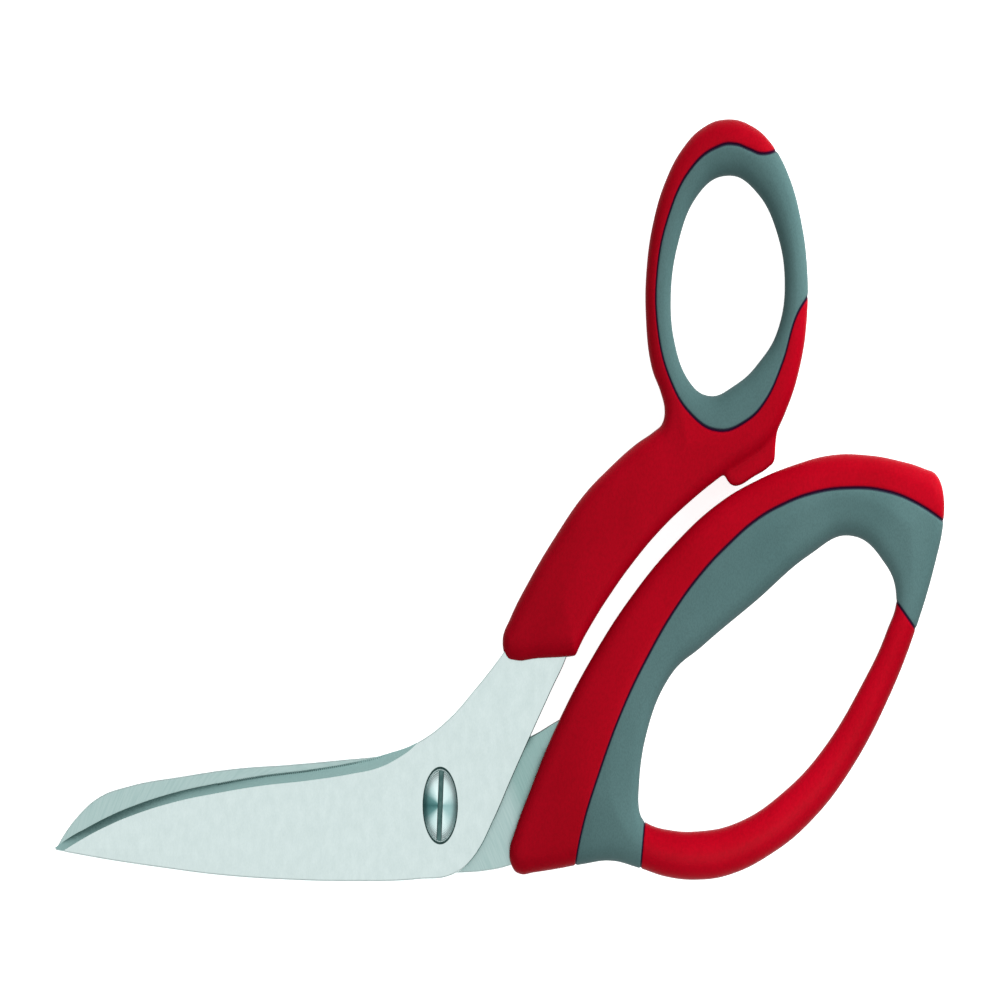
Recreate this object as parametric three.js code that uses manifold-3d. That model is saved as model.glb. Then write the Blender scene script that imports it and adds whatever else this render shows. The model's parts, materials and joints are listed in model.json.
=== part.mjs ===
// Universal shears: two bevelled steel blades on a slotted pivot screw, in two-material handles.
// Millimetres, +Z up. The shears lie flat and closed, tips towards -X and thumb ring towards +Y.
// Outlines are drawn about the pivot; the group then moves them so that its box is centred on
// x = y = 0, with the undersides of the handles and of the nut at z = 0.
import * as THREE from "three";
import { mergeVertices } from "three/addons/utils/BufferGeometryUtils.js";
import Module from "manifold-3d";

const wasm = await Module();
wasm.setup();

// Driving dimensions
const handleThickness = 10.4;
const handleRound = 1.9; // height of the rounding on the handles' rims
const handleRoundWidth = 1.5;
const bladeThickness = 2.5;
const bladeTipThickness = 1.8;
const runningGap = 0.1; // between the two blades' inner faces
const fitGap = 0.3; // plastic keeps this far from the steel and from the other plastic
const edgeLand = 0.25; // upright part of a cutting edge
const bevelWidth = 1.2;
const boreRadius = 2.56;
const shankRadius = 2.5;
const headRadius = 3.75;
const headRim = 0.75; // height of the head's upright rim
const headDome = 1.0;
const counterboreRadius = 4.0;
const counterboreDepth = 0.9;
const slotWidth = 1.0;
const slotDepth = 0.9;
const slotLean = -0.08; // radians from straight across the blade
const washerThickness = 0.25;
const nutAcrossCorners = 9.24;
const nutThickness = 2.6;
const keyRadius = 2.0; // plastic key that locks each tang in its handle
const coreHalfHeight = 2.4; // of the red core where it runs inside the soft grip
const lugInset = 1.6; // the closing stop is this much thinner, above and below
const ringCentre = new THREE.Vector2(64.5, 51.8);
const ringRadius = 18.4;
const boxMiddle = new THREE.Vector2(13.45, 31.25); // of the closed shears, from the pivot
const contactHeight = handleThickness / 2; // where the blades meet

const curveSteps = 3; // per point of a spline
const arcStep = 0.9; // radians
const roundSteps = 2;
const turnSteps = 40; // round the pivot's pieces

const steel = { color: 0xbccbc9, roughness: 0.38, metalness: 0.9 };
const screwSteel = { color: 0xa9b6b4, roughness: 0.3, metalness: 0.95 };
const nylon = { color: 0xe6e4dc, roughness: 0.5, metalness: 0 };
const redPlastic = { color: 0xa7041a, roughness: 0.42, metalness: 0 };
const greyRubber = { color: 0x527070, roughness: 0.75, metalness: 0 };

function points(list) {
  return list.map(([x, y]) => new THREE.Vector2(x, y));
}

function solidOf(geometry) {
  geometry.deleteAttribute("normal");
  geometry.deleteAttribute("uv");
  const merged = mergeVertices(geometry, 1e-4);
  const vertProperties = merged.attributes.position.array;
  const triVerts = new Uint32Array(merged.index.array);
  return new wasm.Manifold(new wasm.Mesh({ numProp: 3, vertProperties, triVerts }));
}

function meshOf(name, solid, material) {
  const { vertProperties, triVerts } = solid.getMesh();
  const indexed = new THREE.BufferGeometry();
  indexed.setAttribute("position", new THREE.BufferAttribute(vertProperties, 3));
  indexed.setIndex(new THREE.BufferAttribute(triVerts, 1));
  const geometry = indexed.toNonIndexed();
  geometry.computeVertexNormals();
  const mesh = new THREE.Mesh(geometry, new THREE.MeshStandardMaterial(material));
  mesh.name = name;
  return mesh;
}

// A flat plate of the outline between two heights.
function plate(shape, bottom, top) {
  const depth = top - bottom;
  const geometry = new THREE.ExtrudeGeometry(shape, { depth, curveSegments: curveSteps, bevelEnabled: false });
  geometry.translate(0, 0, bottom);
  return solidOf(geometry);
}

// A moulded body as thick as the handles, with every rim rounded inside its outline.
function moulding(outline, hole) {
  const shape = new THREE.Shape(cornersOf(outline));
  shape.holes.push(new THREE.Path(cornersOf(hole)));
  const geometry = new THREE.ExtrudeGeometry(shape, {
    depth: handleThickness - 2 * handleRound,
    curveSegments: curveSteps,
    bevelThickness: handleRound,
    bevelSize: handleRoundWidth,
    bevelOffset: -handleRoundWidth,
    bevelSegments: roundSteps,
  });
  geometry.translate(0, 0, handleRound);
  return solidOf(geometry);
}

function cylinder(radius, bottom, top, sides = turnSteps) {
  const geometry = new THREE.CylinderGeometry(radius, radius, top - bottom, sides);
  geometry.rotateX(Math.PI / 2);
  geometry.translate(0, 0, (bottom + top) / 2);
  return solidOf(geometry);
}

// Spins a profile of [radius, height] pairs round the pivot's axis.
function turned(profile) {
  const geometry = new THREE.LatheGeometry(points(profile), turnSteps);
  geometry.rotateX(Math.PI / 2);
  return solidOf(geometry);
}

// A path's corners, each one once, anticlockwise.
function cornersOf(path) {
  const apart = 0.02;
  const corners = path.getPoints(curveSteps).filter((p, i, all) => i === 0 || p.distanceTo(all[i - 1]) > apart);
  if (corners[0].distanceTo(corners.at(-1)) < apart) corners.pop();
  return THREE.ShapeUtils.isClockWise(corners) ? corners.reverse() : corners;
}

// The outline moved outwards by a distance.
function grown(shape, distance) {
  const corners = cornersOf(shape);
  const moved = corners.map((corner, i) => {
    const before = corners.at(i - 1);
    const after = corners[(i + 1) % corners.length];
    const along = after.clone().sub(before).normalize();
    return new THREE.Vector2(corner.x + distance * along.y, corner.y - distance * along.x);
  });
  return new THREE.Shape(moved);
}

function flipped(shape) {
  return new THREE.Shape(cornersOf(shape).map((p) => new THREE.Vector2(p.x, -p.y)));
}

// Adds a long arc as several short ones, so that it gets enough corners.
function addArc(shape, radius, start, end) {
  const parts = Math.ceil(Math.abs(end - start) / arcStep);
  const turn = (end - start) / parts;
  for (let i = 0; i < parts; i += 1) {
    shape.absarc(ringCentre.x, ringCentre.y, radius, start + i * turn, start + (i + 1) * turn, end < start);
  }
}

// A band of even width along a smooth line.
function strip(line, halfWidth) {
  const curve = new THREE.SplineCurve(points(line));
  const count = line.length * curveSteps;
  const sides = [1, -1].map((side) =>
    Array.from({ length: count + 1 }, (_, i) => {
      const at = curve.getPoint(i / count);
      const along = curve.getTangent(i / count);
      return new THREE.Vector2(at.x - side * halfWidth * along.y, at.y + side * halfWidth * along.x);
    }),
  );
  return new THREE.Shape([...sides[0], ...sides[1].reverse()]);
}

// Front half: blade, pivot and the tang that goes up into the thumb handle.
function frontBladeOutline() {
  const shape = new THREE.Shape();
  shape.moveTo(-86.8, -4.3);
  shape.splineThru(points([[-80, -2.4], [-70, -0.2], [-60, 1.3], [-50, 2.3], [-40, 3.1], [-30, 3.65]]));
  shape.splineThru(points([[-20, 4.4], [-12, 5.3], [-5, 6.5], [2, 8.9], [8, 12], [14.3, 15.6]]));
  shape.splineThru(points([[17.6, 18], [22, 21.7], [30.1, 27.7], [38.5, 32.1], [44, 33.9]]));
  shape.quadraticCurveTo(47.6, 34.6, 46.4, 31.4);
  shape.splineThru(points([[44, 29.2], [40, 26.1], [34, 21.5], [30.2, 18], [28.4, 15.2]]));
  shape.splineThru(points([[25, 11.8], [20.3, 7.1], [16, 2.7], [12, -1.5], [8, -5], [3.5, -6.9]]));
  shape.splineThru(points([[-5, -7.55], [-20, -7.75], [-34, -7.6], [-50, -7.1], [-62, -6.4], [-74, -5.6]]));
  shape.splineThru(points([[-84.2, -4.75]]));
  return shape;
}

// Rear half: its blade shows past the front one's edge, and its tang goes into the finger handle.
function rearBladeOutline() {
  const shape = new THREE.Shape();
  shape.moveTo(-86.6, -4.55);
  shape.splineThru(points([[-84.5, -2.85], [-81, -0.8], [-77, 0.8], [-70, 2], [-58, 3], [-46, 3.8]]));
  shape.splineThru(points([[-34, 4.2], [-22, 4.7], [-12, 5.2], [-5, 6], [2, 6.5], [9, 6.2], [14.5, 6.2]]));
  shape.splineThru(points([[20.3, 7.1], [26.4, 8.6]]));
  shape.splineThru(points([[30.8, 9.6], [36.4, 13.9], [42, 18], [46.4, 20.6]]));
  shape.quadraticCurveTo(49.6, 22.4, 48.2, 19.4);
  shape.splineThru(points([[43, 14.6], [39.7, 11.2], [36.3, 7.3], [33.2, 2.9], [30.4, -1.6]]));
  shape.quadraticCurveTo(28.6, -4.8, 25, -4.9);
  shape.splineThru(points([[20, -5.2], [15.6, -6.15], [10, -6.7], [3.5, -6.9], [-4, -6.95], [-12, -6.55]]));
  shape.splineThru(points([[-20, -6.45], [-30, -6.4], [-42, -6.15], [-54, -5.7], [-66, -5.15], [-76, -4.8]]));
  shape.splineThru(points([[-84, -4.75]]));
  return shape;
}

// Cutting edges from tip to heel. Both ends run past the blade, so that the bevel fades out there.
const frontEdge = [
  [-91, -5.6], [-86.8, -4.3], [-80, -2.4], [-70, -0.2], [-60, 1.3], [-50, 2.3],
  [-40, 3.1], [-30, 3.65], [-20, 4.4], [-14, 5.1], [-9, 6.3], [-4, 8.4],
];
const rearEdge = [
  [-91, -4.7], [-84, -4.75], [-76, -4.8], [-66, -5.15], [-54, -5.7], [-42, -6.15],
  [-30, -6.4], [-20, -6.5], [-14, -6.95], [-9, -8], [-4, -9.9],
];
const frontKey = new THREE.Vector2(36, 27.2);
const rearKey = new THREE.Vector2(36.5, 11);

// The wedge that grinding takes off along a cutting edge.
function bevelCutter(edge) {
  const rise = (bladeThickness - edgeLand) / bevelWidth;
  const outside = 1;
  const above = 0.4;
  const section = new THREE.Shape([
    new THREE.Vector2(rise * outside - edgeLand, outside),
    new THREE.Vector2(-bladeThickness - above, outside),
    new THREE.Vector2(-bladeThickness - above, -bevelWidth - above / rise),
  ]);
  const extrudePath = new THREE.CatmullRomCurve3(edge.map(([x, y]) => new THREE.Vector3(x, y, 0)));
  return solidOf(new THREE.ExtrudeGeometry(section, { steps: edge.length * 3, extrudePath }));
}

// Takes the outer face down towards the tip.
function taperCutter() {
  const heel = -12;
  const tip = -87;
  const slope = (bladeThickness - bladeTipThickness) / (heel - tip);
  const beyond = -95;
  const side = new THREE.Shape([
    new THREE.Vector2(heel, bladeThickness),
    new THREE.Vector2(heel, bladeThickness + 1),
    new THREE.Vector2(beyond, bladeThickness + 1),
    new THREE.Vector2(beyond, bladeThickness - slope * (heel - beyond)),
  ]);
  const geometry = new THREE.ExtrudeGeometry(side, { depth: 40, bevelEnabled: false });
  geometry.rotateX(Math.PI / 2);
  geometry.translate(0, 20, 0);
  return solidOf(geometry);
}

// One steel half with its inner face at z = 0 and its outer face up.
function bladeHalf(outline, edge, key) {
  const keyHole = cylinder(keyRadius, -1, bladeThickness + 1, 24);
  return plate(outline, 0, bladeThickness)
    .subtract(bevelCutter(edge))
    .subtract(taperCutter())
    .subtract(cylinder(boreRadius, -1, bladeThickness + 1))
    .subtract(keyHole.translate([key.x, key.y, 0]));
}

function frontBlade() {
  const floor = bladeThickness - counterboreDepth;
  const solid = bladeHalf(frontBladeOutline(), frontEdge, frontKey).subtract(
    cylinder(counterboreRadius, floor, bladeThickness + 1),
  );
  const mesh = meshOf("front_blade", solid, steel);
  mesh.position.z = contactHeight + runningGap / 2;
  return mesh;
}

// Built face up like the front half, then turned over about the X axis.
function rearBlade() {
  const edge = rearEdge.map(([x, y]) => [x, -y]);
  const key = new THREE.Vector2(rearKey.x, -rearKey.y);
  const mesh = meshOf("rear_blade", bladeHalf(flipped(rearBladeOutline()), edge, key), steel);
  mesh.rotation.x = Math.PI;
  mesh.position.z = contactHeight - runningGap / 2;
  return mesh;
}

const frontTop = contactHeight + runningGap / 2 + bladeThickness;
const rearBottom = contactHeight - runningGap / 2 - bladeThickness;
const washerBottom = frontTop - counterboreDepth + 0.02;
const headBottom = washerBottom + washerThickness + 0.02;

function pivotScrew() {
  const end = rearBottom - nutThickness + 0.4;
  const rim = headBottom + headRim;
  const domeSteps = 5;
  const dome = Array.from({ length: domeSteps + 1 }, (_, i) => {
    const angle = (i / domeSteps) * (Math.PI / 2);
    return [headRadius * Math.cos(angle), rim + headDome * Math.sin(angle)];
  });
  dome[domeSteps][0] = 0;
  const profile = [[0, end], [shankRadius - 0.3, end], [shankRadius, end + 0.3]];
  profile.push([shankRadius, headBottom], [headRadius, headBottom], ...dome);
  const slot = new THREE.BoxGeometry(slotWidth, 3 * headRadius, 2 * slotDepth);
  slot.rotateZ(slotLean);
  slot.translate(0, 0, rim + headDome);
  return meshOf("pivot_screw", turned(profile).subtract(solidOf(slot)), screwSteel);
}

function headWasher() {
  const inner = boreRadius + 0.1;
  const outer = headRadius - 0.05;
  const top = washerBottom + washerThickness;
  const profile = [[inner, washerBottom], [outer, washerBottom], [outer, top], [inner, top], [inner, washerBottom]];
  return meshOf("head_washer", turned(profile), nylon);
}

function pivotNut() {
  const top = rearBottom - 0.05;
  const bore = cylinder(boreRadius, -1, rearBottom);
  return meshOf("pivot_nut", cylinder(nutAcrossCorners / 2, 0, top, 6).subtract(bore), screwSteel);
}

// What the tang fills inside a handle, with the key that passes through the tang's hole.
function tangPocket(outline, bottom, key) {
  const room = plate(grown(outline, fitGap), bottom - fitGap, bottom + bladeThickness + fitGap);
  const pin = cylinder(keyRadius - fitGap, 0, handleThickness, 24);
  return room.subtract(pin.translate([key.x, key.y, 0]));
}

function thumbHole() {
  const hole = new THREE.Path();
  hole.moveTo(51.9, 52);
  hole.splineThru(points([[53.6, 57.6], [57.6, 62.2], [64.5, 64.4], [71, 62.8], [75.6, 58.8], [77.5, 53.6]]));
  hole.splineThru(points([[76.2, 49], [71.5, 45.2], [66, 42.9], [60.5, 41.9], [56, 43.4], [52.9, 47], [51.9, 52]]));
  return hole;
}

function thumbOutline() {
  const shape = new THREE.Shape();
  shape.moveTo(14.1, 17.2);
  shape.splineThru(points([[17, 20.4], [23, 25.4], [29, 29.6], [35, 33], [41, 35.8], [47.4, 38.1]]));
  shape.quadraticCurveTo(51.8, 39.9, 48.3, 43);
  addArc(shape, ringRadius, Math.PI * 1.158, Math.PI * -0.178);
  shape.splineThru(points([[77.4, 39.6], [74.4, 37.4], [70, 35.7], [62, 33.2], [56, 31], [50, 28.4]]));
  shape.splineThru(points([[44, 25.2], [38, 21.4], [33, 17.7]]));
  shape.quadraticCurveTo(30.4, 15.5, 27.6, 15.3);
  shape.lineTo(17, 14.75);
  shape.quadraticCurveTo(13.2, 14.6, 14.1, 17.2);
  return shape;
}

// Where the soft grip shows on the thumb ring: all round the hole, and out to the rim on the right.
function thumbGripRegion() {
  const shape = new THREE.Shape();
  shape.moveTo(84.5, 53.2);
  shape.splineThru(points([[80, 49.9], [77, 45.3], [73, 41.3], [68, 39.1], [62.5, 38.4], [57, 39.8]]));
  shape.splineThru(points([[52, 43.3], [49, 48.6], [48.8, 54.6], [51.7, 60.8], [56.5, 65.2], [63, 67.5]]));
  shape.splineThru(points([[69.5, 67.2], [77, 67.6]]));
  shape.lineTo(86, 67);
  return shape;
}

// The hard core carries on inside the grip as a flat hoop.
function thumbCore(extra) {
  const shape = new THREE.Shape();
  const start = -0.26;
  const end = 1.47;
  addArc(shape, 17.1 + extra, start, end);
  addArc(shape, 14.9 - extra, end, start);
  return shape;
}

function fingerHole() {
  const hole = new THREE.Path();
  hole.moveTo(44.7, 1.4);
  hole.splineThru(points([[46.4, 7.2], [51.4, 13], [59, 16.3], [71, 20.9], [83, 25.6], [92, 27.6], [99.2, 25.3]]));
  hole.splineThru(points([[102.6, 21.4], [100.5, 17.9], [95, 12.5], [86, 5.7], [77, 1.3], [67, -1.7]]));
  hole.splineThru(points([[57, -2.6], [48.4, -2.1], [44.7, 1.4]]));
  return hole;
}

function fingerOutline() {
  const shape = new THREE.Shape();
  shape.moveTo(18.4, -7);
  shape.splineThru(points([[26, -6.5], [32, -6], [38.5, -5.7], [45, -6.4], [51, -7.3], [58, -7.6], [65, -7.1]]));
  shape.splineThru(points([[74, -5.1], [83, -1.8], [92, 3.4], [101, 11.1], [107.7, 19], [112.2, 26.5]]));
  shape.quadraticCurveTo(115.8, 33.4, 109.5, 34.4);
  shape.splineThru(points([[103, 35.3], [96, 35.9], [88, 35.8], [80, 34.9], [71, 33.2], [62, 30.7], [53, 26.9]]));
  shape.splineThru(points([[44, 22], [35, 15.8], [26, 8], [20, 1.3], [16.4, -3.2]]));
  shape.quadraticCurveTo(14.3, -6.9, 18.4, -7);
  return shape;
}

// Where the soft grip shows on the finger bow: the inside of the back, and right across both ends.
function fingerGripRegion() {
  const shape = new THREE.Shape();
  shape.moveTo(30, -9);
  shape.splineThru(points([[32, -2.3], [35.5, 3], [41, 9.8], [47, 15.5], [53, 20.2], [59, 23.9], [65, 26.8]]));
  shape.splineThru(points([[71, 29.2], [77, 30.8], [84, 32], [92, 32.5], [100, 32.2], [107, 31], [116, 28.2]]));
  shape.lineTo(112, 14.8);
  shape.lineTo(100, 22.6);
  shape.lineTo(60, 8);
  shape.lineTo(46.3, -0.2);
  shape.lineTo(44.6, -9);
  return shape;
}

const leftCore = [[29.4, -3], [36, -2.2], [42, -3.4], [48.5, -4.6]];
const rightCore = [[109, 32.6], [108.7, 28], [107, 23.6], [104.4, 19.2], [102, 16.2]];
const coreBottom = contactHeight - coreHalfHeight;
const coreTop = contactHeight + coreHalfHeight;
const aboveHandle = handleThickness + 1;

function thumbHandle() {
  const lug = new THREE.Shape();
  lug.moveTo(63.4, 34.6);
  lug.quadraticCurveTo(65.2, 31.9, 68, 32.95);
  lug.lineTo(74, 34.7);
  lug.quadraticCurveTo(75.6, 35.2, 75.4, 37);
  lug.lineTo(75.4, 39);
  lug.lineTo(64, 38);
  const solid = moulding(thumbOutline(), thumbHole())
    .subtract(plate(grown(thumbGripRegion(), fitGap), -1, aboveHandle))
    .add(plate(lug, lugInset, handleThickness - lugInset))
    .add(plate(thumbCore(0), coreBottom, coreTop))
    .subtract(tangPocket(frontBladeOutline(), contactHeight + runningGap / 2, frontKey));
  return meshOf("thumb_handle", solid, redPlastic);
}

function thumbGrip() {
  const solid = moulding(thumbOutline(), thumbHole())
    .intersect(plate(thumbGripRegion(), -1, aboveHandle))
    .subtract(plate(thumbCore(fitGap), coreBottom - fitGap, coreTop + fitGap));
  return meshOf("thumb_grip", solid, greyRubber);
}

function fingerHandle() {
  const coreHalfWidth = 1.1;
  const solid = moulding(fingerOutline(), fingerHole())
    .subtract(plate(grown(fingerGripRegion(), fitGap), -1, aboveHandle))
    .add(plate(strip(leftCore, coreHalfWidth), coreBottom, coreTop))
    .add(plate(strip(rightCore, coreHalfWidth), coreBottom, coreTop))
    .subtract(tangPocket(rearBladeOutline(), rearBottom, rearKey));
  return meshOf("finger_handle", solid, redPlastic);
}

function fingerGrip() {
  const roomHalfWidth = 1.4;
  const solid = moulding(fingerOutline(), fingerHole())
    .intersect(plate(fingerGripRegion(), -1, aboveHandle))
    .subtract(plate(strip(leftCore, roomHalfWidth), coreBottom - fitGap, coreTop + fitGap))
    .subtract(plate(strip(rightCore, roomHalfWidth), coreBottom - fitGap, coreTop + fitGap));
  return meshOf("finger_grip", solid, greyRubber);
}

const shears = new THREE.Group();
shears.add(rearBlade(), frontBlade(), pivotScrew(), headWasher(), pivotNut());
shears.add(fingerHandle(), fingerGrip(), thumbHandle(), thumbGrip());
shears.position.set(-boxMiddle.x, -boxMiddle.y, 0);

export default shears;
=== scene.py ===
import json
import math
import bpy
import bmesh
from mathutils import Matrix, Vector
from mathutils.bvhtree import BVHTree
from mathutils.geometry import intersect_point_line
from mathutils.kdtree import KDTree

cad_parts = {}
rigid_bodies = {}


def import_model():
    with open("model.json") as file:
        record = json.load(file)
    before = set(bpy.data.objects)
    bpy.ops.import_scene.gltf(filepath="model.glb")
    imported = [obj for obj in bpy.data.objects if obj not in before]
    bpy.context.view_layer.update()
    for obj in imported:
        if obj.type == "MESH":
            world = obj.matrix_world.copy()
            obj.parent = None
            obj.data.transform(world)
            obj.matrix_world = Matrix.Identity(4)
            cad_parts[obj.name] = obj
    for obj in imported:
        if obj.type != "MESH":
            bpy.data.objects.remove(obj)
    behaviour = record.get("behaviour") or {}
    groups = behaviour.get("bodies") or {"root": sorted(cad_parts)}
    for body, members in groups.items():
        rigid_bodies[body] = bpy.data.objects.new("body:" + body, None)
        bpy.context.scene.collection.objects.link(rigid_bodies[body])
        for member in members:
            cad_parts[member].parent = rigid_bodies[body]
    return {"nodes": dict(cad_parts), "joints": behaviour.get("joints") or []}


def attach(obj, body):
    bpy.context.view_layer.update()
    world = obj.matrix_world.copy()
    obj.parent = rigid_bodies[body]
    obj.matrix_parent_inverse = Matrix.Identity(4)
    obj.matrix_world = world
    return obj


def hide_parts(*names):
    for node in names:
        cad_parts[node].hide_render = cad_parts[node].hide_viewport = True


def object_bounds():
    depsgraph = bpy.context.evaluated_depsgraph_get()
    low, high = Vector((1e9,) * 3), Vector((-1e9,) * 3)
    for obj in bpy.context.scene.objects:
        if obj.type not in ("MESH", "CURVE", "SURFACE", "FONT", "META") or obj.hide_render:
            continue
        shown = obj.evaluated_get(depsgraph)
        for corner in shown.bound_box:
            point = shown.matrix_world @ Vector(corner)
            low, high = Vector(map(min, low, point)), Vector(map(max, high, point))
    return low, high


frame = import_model()
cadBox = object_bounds()
scene = bpy.context.scene

# Outlines are in millimetres about the pivot, x towards the handles and y towards the thumb ring.
mm = 0.001
pivot = Vector(frame["joints"][0]["pos_m"])
fingerBody = frame["joints"][0]["parent"]
thumbBody = frame["joints"][0]["child"]
print("frame loaded, pivot at", [round(c, 5) for c in pivot])


def addObject(name, mesh):
    thing = bpy.data.objects.new(name, mesh)
    scene.collection.objects.link(thing)
    return thing


def bakedMesh(thing):
    # the mesh of an object with everything on it applied
    bpy.context.view_layer.update()
    seen = thing.evaluated_get(bpy.context.evaluated_depsgraph_get())
    return bpy.data.meshes.new_from_object(seen)


def bake(piece):
    old = piece.data
    mesh = bakedMesh(piece)
    piece.modifiers.clear()
    piece.data = mesh
    bpy.data.meshes.remove(old)


def addLoop(curve, loop, closed=True):
    # a smooth spline through the points; a third value marks a sharp corner
    spline = curve.splines.new("BEZIER")
    spline.bezier_points.add(len(loop) - 1)
    spline.use_cyclic_u = closed
    for point, spot in zip(spline.bezier_points, loop):
        point.co = (spot[0], spot[1], 0)
        kind = "VECTOR" if len(spot) > 2 else "AUTO"
        point.handle_left_type = kind
        point.handle_right_type = kind


def weld(mesh, gap=1e-7):
    form = bmesh.new()
    form.from_mesh(mesh)
    bmesh.ops.remove_doubles(form, verts=form.verts, dist=gap)
    bmesh.ops.recalc_face_normals(form, faces=form.faces)
    form.to_mesh(mesh)
    form.free()


def slab(name, loops, thickness, middle, rim=0.0, grow=0.0, steps=10):
    # a plate of the first loop with the other loops as holes, its rims rounded by rim
    curve = bpy.data.curves.new(name, "CURVE")
    curve.dimensions = "2D"
    curve.fill_mode = "BOTH"
    curve.resolution_u = steps
    curve.extrude = thickness / 2 - rim
    curve.bevel_depth = rim
    curve.bevel_resolution = 4
    curve.offset = grow - rim
    for loop in loops:
        addLoop(curve, loop)
    drawn = addObject(name, curve)
    mesh = bakedMesh(drawn)
    bpy.data.objects.remove(drawn)
    bpy.data.curves.remove(curve)
    mesh.transform(Matrix.Translation((pivot.x, pivot.y, middle)) @ Matrix.Scale(mm, 4))
    weld(mesh)
    return addObject(name, mesh)


def sweep(name, line, section, middle):
    # a section, drawn to the left of the line and up, carried along the line
    profile = bpy.data.curves.new(name + "Section", "CURVE")
    profile.dimensions = "2D"
    spline = profile.splines.new("POLY")
    spline.points.add(len(section) - 1)
    spline.use_cyclic_u = True
    for point, (left, up) in zip(spline.points, section):
        point.co = (-left, up, 0, 1)
    profileObject = addObject(name + "Section", profile)
    path = bpy.data.curves.new(name, "CURVE")
    path.dimensions = "3D"
    path.twist_mode = "Z_UP"
    path.resolution_u = 16
    path.bevel_mode = "OBJECT"
    path.bevel_object = profileObject
    path.use_fill_caps = True
    addLoop(path, line, closed=False)
    drawn = addObject(name, path)
    mesh = bakedMesh(drawn)
    for thing in (drawn, profileObject):
        bpy.data.objects.remove(thing)
    mesh.transform(Matrix.Translation((pivot.x, pivot.y, middle)) @ Matrix.Scale(mm, 4))
    weld(mesh)
    return addObject(name, mesh)


def turned(name, profile, sides=96, material=None):
    # spins a profile of (radius, height) in millimetres about the pivot's axis
    form = bmesh.new()
    verts = [form.verts.new((radius * mm, 0, height * mm)) for radius, height in profile]
    edges = [form.edges.new(pair) for pair in zip(verts, verts[1:])]
    bmesh.ops.spin(form, geom=verts + edges, cent=(0, 0, 0), axis=(0, 0, 1), angle=2 * math.pi,
                   steps=sides, use_merge=True, use_duplicate=False)
    bmesh.ops.remove_doubles(form, verts=form.verts, dist=1e-7)
    bmesh.ops.recalc_face_normals(form, faces=form.faces)
    bmesh.ops.translate(form, verts=form.verts, vec=(pivot.x, pivot.y, 0))
    mesh = bpy.data.meshes.new(name)
    form.to_mesh(mesh)
    form.free()
    if material:
        mesh.materials.append(material)
    return addObject(name, mesh)


def carve(piece, cutter, operation="DIFFERENCE", keep=False):
    tool = piece.modifiers.new("carve", "BOOLEAN")
    tool.operation = operation
    tool.solver = "EXACT"
    tool.material_mode = "TRANSFER"
    tool.object = cutter
    bake(piece)
    if not keep:
        bpy.data.objects.remove(cutter)


def copyOf(piece, name):
    return addObject(name, piece.data.copy())


def shade(piece, angle=35, flatTop=False):
    for polygon in piece.data.polygons:
        polygon.use_smooth = not flatTop or abs(polygon.normal.z) < 0.97
    piece.data.set_sharp_from_angle(angle=math.radians(angle))


def distanceFrom(loops, steps=24):
    # how far a point is, seen from above, from the nearest of the smooth loops
    spots = []
    neighbours = []
    for loop in loops:
        curve = bpy.data.curves.new("line", "CURVE")
        curve.resolution_u = steps
        addLoop(curve, loop)
        drawn = addObject("line", curve)
        mesh = bakedMesh(drawn)
        first = len(spots)
        count = len(mesh.vertices)
        for index, vertex in enumerate(mesh.vertices):
            spots.append(Vector((pivot.x, pivot.y, 0)) + vertex.co * mm)
            neighbours.append((first + (index - 1) % count, first + (index + 1) % count))
        bpy.data.objects.remove(drawn)
        bpy.data.curves.remove(curve)
    tree = KDTree(len(spots))
    for index, spot in enumerate(spots):
        tree.insert(spot, index)
    tree.balance()

    def distance(point):
        flat = Vector((point.x, point.y, 0))
        spot, index, best = tree.find(flat)
        for other in neighbours[index]:
            foot, share = intersect_point_line(flat, spot, spots[other])
            if 0 < share < 1:
                best = min(best, (foot - flat).length)
        return best

    return distance


def smoothStep(value):
    value = min(max(value, 0), 1)
    return value * value * (3 - 2 * value)


def newMaterial(name, roughness, metallic=0.0):
    material = bpy.data.materials.new(name)
    material.use_nodes = True
    surface = material.node_tree.nodes["Principled BSDF"]
    surface.inputs["Roughness"].default_value = roughness
    surface.inputs["Metallic"].default_value = metallic
    return material, material.node_tree, surface


def noise(tree, scale, detail=3.0, length=1.0, towards=0.0):
    # noise on object coordinates, drawn out by length in a direction given in degrees, seen from above
    nodes, links = tree.nodes, tree.links
    place = nodes.new("ShaderNodeTexCoord")
    mapping = nodes.new("ShaderNodeMapping")
    mapping.vector_type = "TEXTURE"
    mapping.inputs["Rotation"].default_value = (0, 0, math.radians(towards))
    mapping.inputs["Scale"].default_value = (length, 1, 1)
    texture = nodes.new("ShaderNodeTexNoise")
    texture.inputs["Scale"].default_value = scale
    texture.inputs["Detail"].default_value = detail
    links.new(place.outputs["Object"], mapping.inputs["Vector"])
    links.new(mapping.outputs["Vector"], texture.inputs["Vector"])
    return texture.outputs["Fac"]


def ramp(tree, value, low, high, start=0.3, end=0.7, between=()):
    # two colours across a range of the value, with more stops between them if given
    blend = tree.nodes.new("ShaderNodeValToRGB")
    blend.color_ramp.elements[0].position = start
    blend.color_ramp.elements[0].color = (*low, 1)
    blend.color_ramp.elements[1].position = end
    blend.color_ramp.elements[1].color = (*high, 1)
    for position, colour in between:
        element = blend.color_ramp.elements.new(position)
        element.color = (*colour, 1)
    tree.links.new(value, blend.inputs["Fac"])
    return blend.outputs["Color"]


def spread(tree, value, low, high):
    # a plain number between low and high
    scale = tree.nodes.new("ShaderNodeMapRange")
    scale.inputs["To Min"].default_value = low
    scale.inputs["To Max"].default_value = high
    tree.links.new(value, scale.inputs["Value"])
    return scale.outputs["Result"]


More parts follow.
